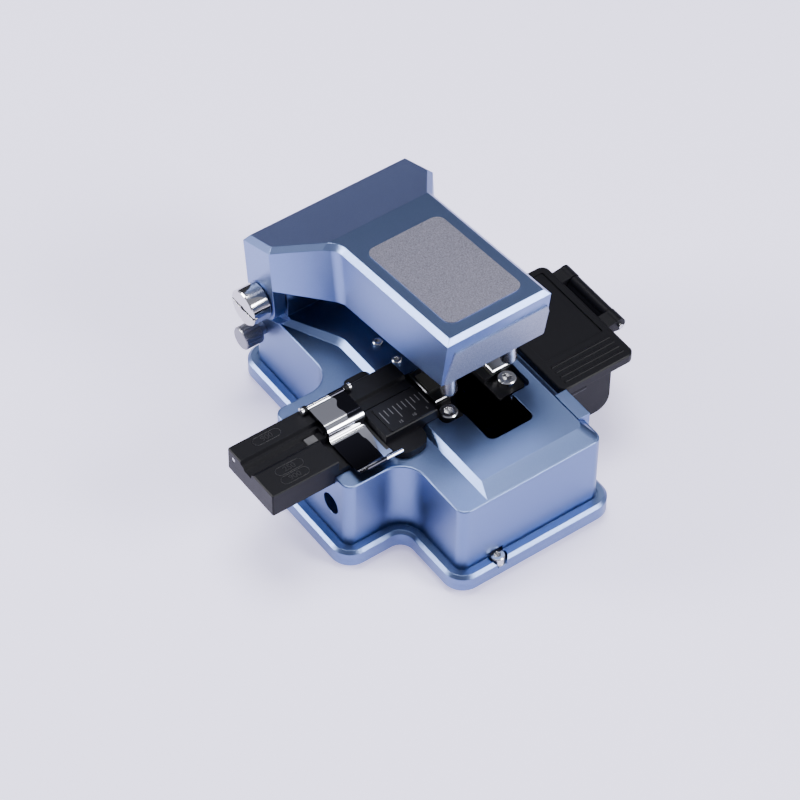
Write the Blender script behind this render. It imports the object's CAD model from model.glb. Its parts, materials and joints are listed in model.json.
import json
import math

import bpy
from mathutils import Matrix, Vector


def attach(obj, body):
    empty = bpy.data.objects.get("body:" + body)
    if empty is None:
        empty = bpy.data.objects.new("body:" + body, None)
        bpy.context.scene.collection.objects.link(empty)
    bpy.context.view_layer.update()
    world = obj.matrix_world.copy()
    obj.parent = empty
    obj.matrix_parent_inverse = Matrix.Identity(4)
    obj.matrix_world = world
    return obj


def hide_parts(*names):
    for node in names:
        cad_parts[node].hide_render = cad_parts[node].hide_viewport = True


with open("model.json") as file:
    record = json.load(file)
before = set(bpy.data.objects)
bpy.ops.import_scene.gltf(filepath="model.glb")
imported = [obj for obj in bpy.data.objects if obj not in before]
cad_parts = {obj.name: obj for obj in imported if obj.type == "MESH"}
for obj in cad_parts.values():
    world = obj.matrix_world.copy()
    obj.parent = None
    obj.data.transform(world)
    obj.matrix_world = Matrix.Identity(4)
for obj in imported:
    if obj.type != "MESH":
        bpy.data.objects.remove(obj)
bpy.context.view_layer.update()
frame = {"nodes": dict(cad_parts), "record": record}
nodes = frame["nodes"]
slot_of = {s["node"]: s["material_slot"] for s in frame["record"]["subparts"]}

# Lengths of the object are in millimetres and angles in degrees; the stage is in metres.
MM = 0.001
hinge_at = Vector((0, 44.2, 39.4))   # a point on the axis of the arm
arm_opened = 6.44                    # how far the arm stands open


# ---- shader nodes ------------------------------------------------------------------------------
mix_factor, mix_a, mix_b, mix_result = 0, 6, 7, 2   # colour sockets of a Mix node


def feed(tree, socket, value):
    """Sets an input to a plain value, or links it to the output of another node."""
    if isinstance(value, bpy.types.NodeSocket):
        tree.links.new(value, socket)
    else:
        socket.default_value = value


def add(tree, kind, inputs, **settings):
    """A new shader node with its settings made and its inputs fed."""
    node = tree.nodes.new("ShaderNode" + kind)
    for key, value in settings.items():
        setattr(node, key, value)
    for key, value in inputs.items():
        feed(tree, node.inputs[key], value)
    return node


def math_of(tree, operation, a, b):
    """The result of a Math node on two values."""
    return add(tree, "Math", {0: a, 1: b}, operation=operation).outputs[0]


def mixed(tree, factor, a, b):
    """The colour between two colours."""
    node = add(tree, "Mix", {}, data_type="RGBA")
    for key, value in ((mix_factor, factor), (mix_a, a), (mix_b, b)):
        feed(tree, node.inputs[key], value)
    return node.outputs[mix_result]


# ---- materials ---------------------------------------------------------------------------------
hollow_black = (0.012, 0.012, 0.014, 1)
patch_black = (0.03, 0.03, 0.04, 1)
bevel_samples = 4
grain_depth = 0.1
noise_middle = (0.3, 0.7)   # the part of the noise's range that the tint spreads over


def material(name, color, metallic, rough, grain=0.0, grain_size=0.3, tint=0.0, bevel=0.0,
             specular=0.5, dark_boxes=(), turned=0.0):
    """A surface with rounded edges, a fine grain in its normal and colour, and dark hollows."""
    look = bpy.data.materials.new(name)
    look.use_nodes = True
    tree = look.node_tree
    shader = tree.nodes["Principled BSDF"]
    tone = (*color, 1)
    normal = None
    if bevel:
        edge = add(tree, "Bevel", {"Radius": bevel * MM}, samples=bevel_samples)
        normal = edge.outputs["Normal"]
    if grain or tint:
        place = add(tree, "TexCoord", {}).outputs["Object"]
        noise = add(tree, "TexNoise", {"Vector": place, "Scale": 1 / (grain_size * MM), "Detail": 2})
    if grain:
        bump = add(tree, "Bump", {"Strength": grain, "Distance": grain_depth * MM,
                                  "Height": noise.outputs["Fac"]})
        if normal:
            tree.links.new(normal, bump.inputs["Normal"])
        normal = bump.outputs["Normal"]
    if tint:
        ramp = add(tree, "MapRange", {"Value": noise.outputs["Fac"],
                                      "From Min": noise_middle[0], "From Max": noise_middle[1],
                                      "To Min": 1 - tint, "To Max": 1 + tint})
        scale = add(tree, "VectorMath", {0: color, "Scale": ramp.outputs["Result"]},
                    operation="SCALE")
        tone = scale.outputs["Vector"]
    for low, high in dark_boxes:
        tone = mixed(tree, inside(tree, low, high, turned), tone, hollow_black)
    for key, value in (("Base Color", tone), ("Metallic", metallic), ("Roughness", rough),
                       ("Specular IOR Level", specular)):
        feed(tree, shader.inputs[key], value)
    if normal:
        tree.links.new(normal, shader.inputs["Normal"])
    return look


def inside(tree, low, high, turned):
    """1 inside a box given by two corners and turned about the hinge, and 0 outside it."""
    middle = [(a + b) / 2 * MM for a, b in zip(low, high)]
    half = [(b - a) / 2 * MM for a, b in zip(low, high)]
    place = add(tree, "TexCoord", {}).outputs["Object"]
    spin = add(tree, "VectorRotate", {"Vector": place, "Center": hinge_at * MM,
                                      "Angle": math.radians(turned)}, rotation_type="X_AXIS")
    shift = add(tree, "VectorMath", {0: spin.outputs[0], 1: middle}, operation="SUBTRACT")
    share = add(tree, "VectorMath", {0: shift.outputs[0], 1: half}, operation="DIVIDE")
    size = add(tree, "VectorMath", {0: share.outputs[0]}, operation="ABSOLUTE")
    x, y, z = add(tree, "SeparateXYZ", {0: size.outputs[0]}).outputs
    widest = math_of(tree, "MAXIMUM", math_of(tree, "MAXIMUM", x, y), z)
    return math_of(tree, "LESS_THAN", widest, 1.0)


def patched_mirror(name, color, rough):
    """Polished strip with two dark patches, like the surroundings a bent mirror picks up."""
    noise_size, sway_width = 5, 6              # the patches' wavy edges
    upper_from_x, upper_from_y = -26.4, -8.5   # the upper patch lies beyond these
    lower_to_x, lower_to_y = -24.6, -11.5      # the lower patch lies before these
    look = material(name, color, metallic=1.0, rough=rough)
    tree = look.node_tree
    place = add(tree, "TexCoord", {}).outputs["Object"]
    x, y, _ = add(tree, "SeparateXYZ", {0: place}).outputs
    noise = add(tree, "TexNoise", {"Vector": place, "Scale": 1 / (noise_size * MM), "Detail": 0})
    sway = math_of(tree, "MULTIPLY", noise.outputs["Fac"], sway_width * MM)
    edge = math_of(tree, "ADD", x, sway)
    upper = math_of(tree, "MULTIPLY", math_of(tree, "GREATER_THAN", edge, upper_from_x * MM),
                    math_of(tree, "GREATER_THAN", y, upper_from_y * MM))
    lower = math_of(tree, "MULTIPLY", math_of(tree, "LESS_THAN", edge, lower_to_x * MM),
                    math_of(tree, "LESS_THAN", y, lower_to_y * MM))
    patch = math_of(tree, "MAXIMUM", upper, lower)
    tone = mixed(tree, patch, (*color, 1), patch_black)
    tree.links.new(tone, tree.nodes["Principled BSDF"].inputs["Base Color"])
    return look


hollow_base = [
    ((0.6, -35.9, 20), (17.4, 34.4, 33.7)),     # blade slot
    ((-5.4, -44.4, 4.2), (23.4, 40.4, 27.8)),   # carriage bay
]
hollow_arm = [   # as they lie when the arm is closed
    ((-7.6, -25.6, 30), (25.6, 26.5, 64.2)),
    ((-7.6, 26.0, 30), (25.6, 49.8, 57.8)),
    ((-22.3, 38.6, 46.9), (33.9, 49.8, 57.8)),
]
anodised = {"metallic": 1.0, "grain": 0.35, "grain_size": 0.20, "tint": 0.05, "bevel": 0.25}
body_blue = {"color": (0.135, 0.192, 0.375), "rough": 0.34, **anodised}
settings_of = {
    "blue_body": body_blue,
    "base_blue": {**body_blue, "dark_boxes": hollow_base},
    "blue_arm": {"color": (0.185, 0.255, 0.48), "rough": 0.32, **anodised,
                 "dark_boxes": hollow_arm, "turned": arm_opened},
    "label_metal": {"color": (0.24, 0.235, 0.30), "metallic": 0.9, "rough": 0.5,
                    "grain": 0.6, "grain_size": 0.35, "tint": 0.35},
    "front_metal": {"color": (0.26, 0.29, 0.38), "metallic": 0.9, "rough": 0.42,
                    "grain": 0.4, "grain_size": 0.25, "tint": 0.3},
    "black_plastic": {"color": (0.004, 0.004, 0.006), "metallic": 0.0, "rough": 0.42,
                      "grain": 0.15, "grain_size": 0.15, "bevel": 0.12, "specular": 0.12},
    "black_metal": {"color": (0.008, 0.008, 0.010), "metallic": 0.0, "rough": 0.35,
                    "bevel": 0.15, "specular": 0.2},
    "scale_metal": {"color": (0.005, 0.005, 0.007), "metallic": 0.0, "rough": 0.35,
                    "bevel": 0.08, "specular": 0.15},
    "steel": {"color": (0.60, 0.60, 0.62), "metallic": 1.0, "rough": 0.25,
              "grain": 0.05, "grain_size": 0.2, "bevel": 0.1},
    "dark_steel": {"color": (0.14, 0.14, 0.15), "metallic": 1.0, "rough": 0.32, "bevel": 0.1},
    "chrome_pin": {"color": (0.62, 0.61, 0.62), "metallic": 1.0, "rough": 0.12, "bevel": 0.1},
    "knob_grey": {"color": (0.25, 0.25, 0.28), "metallic": 1.0, "rough": 0.35, "bevel": 0.05},
    "silver_block": {"color": (0.72, 0.72, 0.74), "metallic": 1.0, "rough": 0.3,
                     "grain": 0.05, "grain_size": 0.2, "bevel": 0.1},
    "blade_edge": {"color": (0.7, 0.7, 0.72), "metallic": 1.0, "rough": 0.18},
    "bronze": {"color": (0.62, 0.45, 0.22), "metallic": 1.0, "rough": 0.35},
    "rubber_black": {"color": (0.010, 0.010, 0.010), "metallic": 0.0, "rough": 0.7, "specular": 0.2},
    "rubber_grey": {"color": (0.07, 0.07, 0.075), "metallic": 0.0, "rough": 0.6, "specular": 0.2},
    "white_ink": {"color": (0.075, 0.075, 0.085), "metallic": 0.0, "rough": 0.5},
    "raised_black": {"color": (0.012, 0.012, 0.015), "metallic": 0.0, "rough": 0.3, "specular": 0.3},
}
looks = {name: material(name, **settings) for name, settings in settings_of.items()}
looks["clip_mirror"] = patched_mirror("clip_mirror", (0.80, 0.80, 0.83), rough=0.05)

own_look = {"base_body": "base_blue", "front_plate": "front_metal"}
for name, obj in nodes.items():
    obj.data.materials.clear()
    obj.data.materials.append(looks[own_look.get(name, slot_of[name])])


# ---- pieces added to the frame -----------------------------------------------------------------
box_faces = ((0, 1, 3, 2), (4, 6, 7, 5), (0, 4, 5, 1), (2, 3, 7, 6), (0, 2, 6, 4), (1, 5, 7, 3))
helix_steps = 20   # points to each turn
oval_steps = 48


def add_object(name, data):
    """An object in the scene for some data."""
    obj = bpy.data.objects.new(name, data)
    bpy.context.collection.objects.link(obj)
    return obj


def boxes(name, spans, look, body):
    """One mesh of several boxes, each given as its low and high corner."""
    verts, faces = [], []
    for low, high in spans:
        first = len(verts)
        verts += [
            Vector((x, y, z)) * MM
            for x in (low[0], high[0])
            for y in (low[1], high[1])
            for z in (low[2], high[2])
        ]
        faces += [[first + i for i in face] for face in box_faces]
    data = bpy.data.meshes.new(name)
    data.from_pydata(verts, [], faces)
    data.update()
    obj = add_object(name, data)
    data.materials.append(look)
    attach(obj, body)


def wire_curve(name, paths, wire):
    """Curve data of round wire along each path."""
    data = bpy.data.curves.new(name, "CURVE")
    data.dimensions = "3D"
    data.bevel_depth = wire / 2 * MM
    for path in paths:
        line = data.splines.new("POLY")
        line.points.add(len(path) - 1)
        for point, at in zip(line.points, path):
            point.co = (*(Vector(at) * MM), 1)
    return data


def coils(name, paths, wire, body, node):
    """Round steel wire along each path, standing for the plain tube of a spring."""
    data = wire_curve(name, paths, wire)
    data.bevel_resolution = 3
    obj = add_object(name, data)
    data.materials.append(looks["steel"])
    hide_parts(node)
    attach(obj, body)


def helix(start, end, radius, turns, across):
    """Points of a helix between two points; across gives two directions across its axis."""
    u, v = across
    count = turns * helix_steps
    points = []
    for i in range(count + 1):
        angle = i / helix_steps * 2 * math.pi
        points.append(start.lerp(end, i / count) + radius * (math.cos(angle) * u + math.sin(angle) * v))
    return points


def figures(name, text, size, at, height, look, body):
    """Small raised figures lying on a level face and read from the front."""
    data = bpy.data.curves.new(name, "FONT")
    data.body = text
    data.size = size * MM
    data.extrude = height / 2 * MM
    data.align_x = "CENTER"
    data.align_y = "CENTER"
    obj = add_object(name, data)
    obj.location = Vector(at) * MM
    data.materials.append(look)
    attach(obj, body)


def oval(name, at, width, depth, wire, look, body):
    """A raised oval outline lying on a level face."""
    flat = (width - depth) / 2
    path = []
    for k in range(oval_steps):
        angle = (k + 0.5) / oval_steps * 2 * math.pi
        side = flat if math.cos(angle) > 0 else -flat
        path.append((at[0] + side + depth / 2 * math.cos(angle),
                     at[1] + depth / 2 * math.sin(angle), at[2]))
    data = wire_curve(name, [path], wire)
    data.splines[0].use_cyclic_u = True
    obj = add_object(name, data)
    data.materials.append(look)
    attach(obj, body)


# ---- ruler marks and moulded figures on the guide ------------------------------------------------
scale_top = 38.0
long_step = 4.6                    # between the long marks, every third one
first_mark_x = -6.95
mark_width = 0.22
marks_y = -11.2                    # where all the marks begin
long_mark_y, short_mark_y = -16.2, -13.9
marks = []
for k in range(10):
    x = first_mark_x - long_step / 3 * k
    end_y = short_mark_y if k % 3 else long_mark_y
    marks.append(((x - mark_width / 2, end_y, scale_top - 0.02),
                  (x + mark_width / 2, marks_y, scale_top + 0.03)))
boxes("ruler_ticks", marks, looks["white_ink"], "base")

figures_y = -17.5
for text, x in (("5", -8.4), ("10", -12.9), ("15", -17.5)):
    figures("ruler_" + text, text, size=1.4, at=(x, figures_y, scale_top + 0.01), height=0.03,
            look=looks["white_ink"], body="base")

guide_top = 37.6
raised = 0.16
fibre_sizes = (("900", -51.8, 0.1), ("250", -53.0, -12.9), ("900", -53.4, -16.4))
for k, (text, x, y) in enumerate(fibre_sizes):
    at = (x, y, guide_top)
    figures("moulded_" + str(k), text, size=2.6, at=at, height=raised,
            look=looks["raised_black"], body="base")
    oval("outline_" + str(k), at, width=9.0, depth=3.0, wire=raised,
         look=looks["raised_black"], body="base")


# ---- coiled springs in place of the plain tubes --------------------------------------------------
along_x, along_y, along_z = Vector((1, 0, 0)), Vector((0, 1, 0)), Vector((0, 0, 1))
arm_coil_x = (-4.85, 12.85)
arm_coil = helix(*[hinge_at + x * along_x for x in arm_coil_x], radius=3.75, turns=12,
                 across=(along_y, along_z))
coils("arm_coil", [arm_coil], wire=1.3, body="base", node="arm_spring")

stem_x = (-0.85, 9.0, 19.95)       # the springs of the two clamps and the anvil, arm closed
stem_y = -7.6
frame_coil_z = (43.05, 46.65)
opened = Matrix.Rotation(math.radians(-arm_opened), 3, "X")
frame_paths = []
for x in stem_x:
    ends = [hinge_at + opened @ (Vector((x, stem_y, z)) - hinge_at) for z in frame_coil_z]
    frame_paths.append(helix(*ends, radius=1.95, turns=4, across=(along_x, opened @ along_y)))
coils("frame_coils", frame_paths, wire=0.68, body="arm", node="frame_springs")


# ---- floor, light, camera, in metres -------------------------------------------------------------
floor_reach = 4
floor_data = bpy.data.meshes.new("floor")
corners = [(x * floor_reach, y * floor_reach, 0) for x, y in ((-1, -1), (1, -1), (1, 1), (-1, 1))]
floor_data.from_pydata(corners, [], [(0, 1, 2, 3)])
floor = add_object("floor", floor_data)
floor_look = material("floor", (0.82, 0.79, 1.0), metallic=0.0, rough=0.75)
floor_shader = floor_look.node_tree.nodes["Principled BSDF"]
floor_shader.inputs["Emission Color"].default_value = (0.74, 0.68, 1.0, 1)
floor_shader.inputs["Emission Strength"].default_value = 0.60
floor_data.materials.append(floor_look)

# a pale sky that fades towards the dark side of the room, at the back right
dark_side = (0.58, 0.78, -0.22)
world = bpy.data.worlds.new("studio")
bpy.context.scene.world = world
world.use_nodes = True
sky = world.node_tree
where = add(sky, "TexCoord", {}).outputs["Generated"]
toward = add(sky, "VectorMath", {0: where, 1: dark_side}, operation="DOT_PRODUCT")
fade = add(sky, "MapRange", {"Value": toward.outputs["Value"], "From Min": 0.36, "From Max": 0.68,
                             "To Min": 0.42, "To Max": 0.08}, interpolation_type="SMOOTHSTEP")
sky.nodes["Background"].inputs["Color"].default_value = (0.80, 0.82, 0.95, 1)
sky.links.new(fade.outputs["Result"], sky.nodes["Background"].inputs["Strength"])


def softbox(name, at, size, power):
    """A square area light aimed at the middle of the object."""
    data = bpy.data.lights.new(name, "AREA")
    data.shape = "SQUARE"
    data.size = size
    data.energy = power
    obj = add_object(name, data)
    obj.location = at
    aim = Vector((0, 0, 0.03)) - Vector(at)
    obj.rotation_euler = aim.to_track_quat("-Z", "Y").to_euler()


softbox("overhead", at=(0.10, 0.18, 1.3), size=0.6, power=20)
softbox("left_back", at=(-0.82, 0.60, 0.44), size=0.38, power=13)
softbox("front_right", at=(0.44, -0.80, 0.58), size=0.38, power=12)

azimuth, elevation, roll = math.radians(-36.33), math.radians(47.94), math.radians(0.73)
target = Vector((-0.0015, 0.005, 0.0165))
distance = 1.04596
back = Vector((math.sin(azimuth) * math.cos(elevation),
               -math.cos(azimuth) * math.cos(elevation),
               math.sin(elevation)))
right = Vector((math.cos(azimuth), math.sin(azimuth), 0))
upward = back.cross(right)
camera_x = math.cos(roll) * right + math.sin(roll) * upward
camera_y = -math.sin(roll) * right + math.cos(roll) * upward
camera_data = bpy.data.cameras.new("camera")
camera_data.sensor_width = 36
camera_data.lens = 160.03305
camera_data.clip_start = 0.05
camera_data.clip_end = 20
camera = add_object("camera", camera_data)
facing = Matrix((camera_x, camera_y, back)).transposed().to_4x4()
camera.matrix_world = Matrix.Translation(target + back * distance) @ facing
bpy.context.scene.camera = camera
